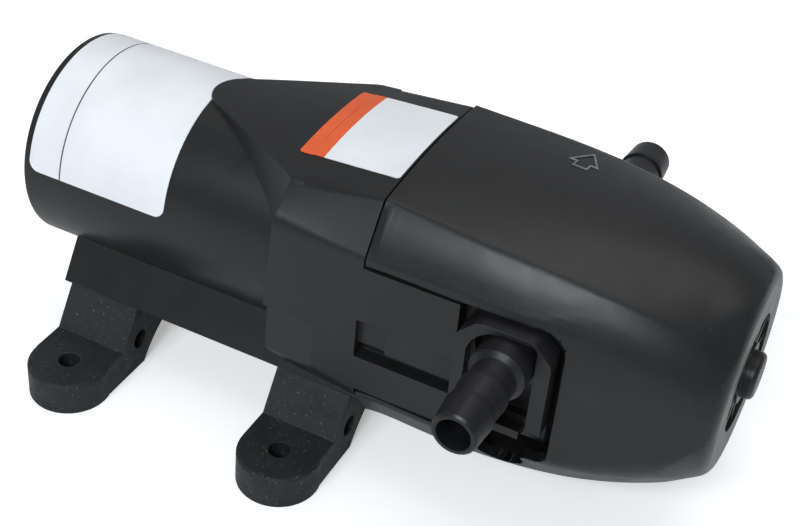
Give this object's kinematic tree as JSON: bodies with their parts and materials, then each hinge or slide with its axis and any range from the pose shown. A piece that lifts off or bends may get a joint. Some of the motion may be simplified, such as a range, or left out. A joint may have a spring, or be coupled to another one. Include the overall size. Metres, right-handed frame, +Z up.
{
  "type": "caravan water pump",
  "caption": "Small self-priming diaphragm water pump with a tubular motor end, bullet-shaped cover, side hose ports held by clips and rubber cross feet",
  "frame": {"origin": "centre of the four fixing holes, on the underside of the rubber feet", "axes": "+X along the motor axis towards the nose cover, +Y towards the right-hand port, +Z up"},
  "size_m": [0.176, 0.116, 0.076],
  "materials": {
    "housing_black": "fine moulded grain",
    "clip_black": "smooth moulded",
    "port_black": "smooth moulded",
    "foot_rubber": "dull moulded rubber",
    "gland_rubber": "dull moulded rubber",
    "seal_rubber": "smooth rubber",
    "zinc_steel": "plated",
    "screw_steel": "plain",
    "bearing_steel": "ground",
    "weight_iron": "as cast",
    "magnet_ferrite": "fired ferrite",
    "copper_parts": "enamelled copper",
    "bushing_bronze": "sintered bronze",
    "brush_carbon": "pressed carbon",
    "white_plastic": "natural moulded",
    "switch_black": "moulded",
    "adjuster_brass": "turned"
  },
  "bodies": {
    "pump": {"rear_housing": "housing_black", "front_cover": "housing_black", "rear_cap": "housing_black", "cap_screws": "screw_steel", "lead_gland": "gland_rubber", "rear_bushing": "bushing_bronze", "motor_can": "zinc_steel", "field_magnets": "magnet_ferrite", "brush_holder": "white_plastic", "carbon_brushes": "brush_carbon", "brush_springs": "zinc_steel", "motor_plate": "zinc_steel", "front_bearing": "bearing_steel", "piston_housing": "port_black", "diaphragm": "seal_rubber", "valve_plate": "port_black", "inlet_valves": "seal_rubber", "outlet_valves": "seal_rubber", "pump_head": "port_black", "head_screws": "screw_steel", "cover_screw": "screw_steel", "nose_cap": "clip_black", "switch_can": "switch_black", "switch_spring": "zinc_steel", "foot_rear": "foot_rubber", "foot_front": "foot_rubber"},
    "rotor": {"rotor_shaft": "bearing_steel", "armature_core": "weight_iron", "armature_windings": "copper_parts", "commutator": "copper_parts", "counterweight": "weight_iron", "eccentric": "weight_iron"},
    "wobble": {"wobble_bearing": "bearing_steel", "wobble_plate": "white_plastic", "pistons": "white_plastic", "piston_screws": "screw_steel"},
    "switch_plunger": {"switch_plunger": "switch_black"},
    "switch_adjuster": {"switch_adjuster": "adjuster_brass"},
    "port_fitting_left": {"port_fitting_left": "port_black", "port_oring_left": "seal_rubber"},
    "port_fitting_right": {"port_fitting_right": "port_black", "port_oring_right": "seal_rubber"},
    "port_clip_left": {"port_clip_left": "clip_black"},
    "port_clip_right": {"port_clip_right": "clip_black"}
  },
  "joints": [
    {"name": "rotor_spin", "type": "hinge", "parent": "pump", "child": "rotor", "pos_m": [0, 0, 0.046], "axis": [1, 0, 0], "continuous": true},
    {"name": "wobble_spin", "type": "hinge", "parent": "rotor", "child": "wobble", "pos_m": [0.05, 0, 0.046], "axis": [0.9986, 0, 0.0523], "continuous": true},
    {"name": "switch_plunger_slide", "type": "slide", "parent": "pump", "child": "switch_plunger", "axis": [1, 0, 0], "range_m": [0, 0.0008], "stiffness_N_per_m": 1500, "deforming": ["switch_spring"]},
    {"name": "switch_adjuster_turn", "type": "hinge", "parent": "pump", "child": "switch_adjuster", "pos_m": [0.1, 0, 0.058], "axis": [1, 0, 0], "range_deg": [-180, 180]},
    {"name": "port_fitting_left_swivel", "type": "hinge", "parent": "pump", "child": "port_fitting_left", "pos_m": [0.0778, 0, 0.053], "axis": [0, 1, 0], "continuous": true},
    {"name": "port_fitting_right_swivel", "type": "hinge", "parent": "pump", "child": "port_fitting_right", "pos_m": [0.0778, 0, 0.053], "axis": [0, 1, 0], "continuous": true},
    {"name": "port_clip_left_slide", "type": "slide", "parent": "pump", "child": "port_clip_left", "axis": [1, 0, 0], "range_m": [0, 0.0014]},
    {"name": "port_clip_right_slide", "type": "slide", "parent": "pump", "child": "port_clip_right", "axis": [1, 0, 0], "range_m": [0, 0.0014]}
  ],
  "couplings": [
    {"joint": "wobble_spin", "follows": "rotor_spin", "ratio": -1}
  ]
}
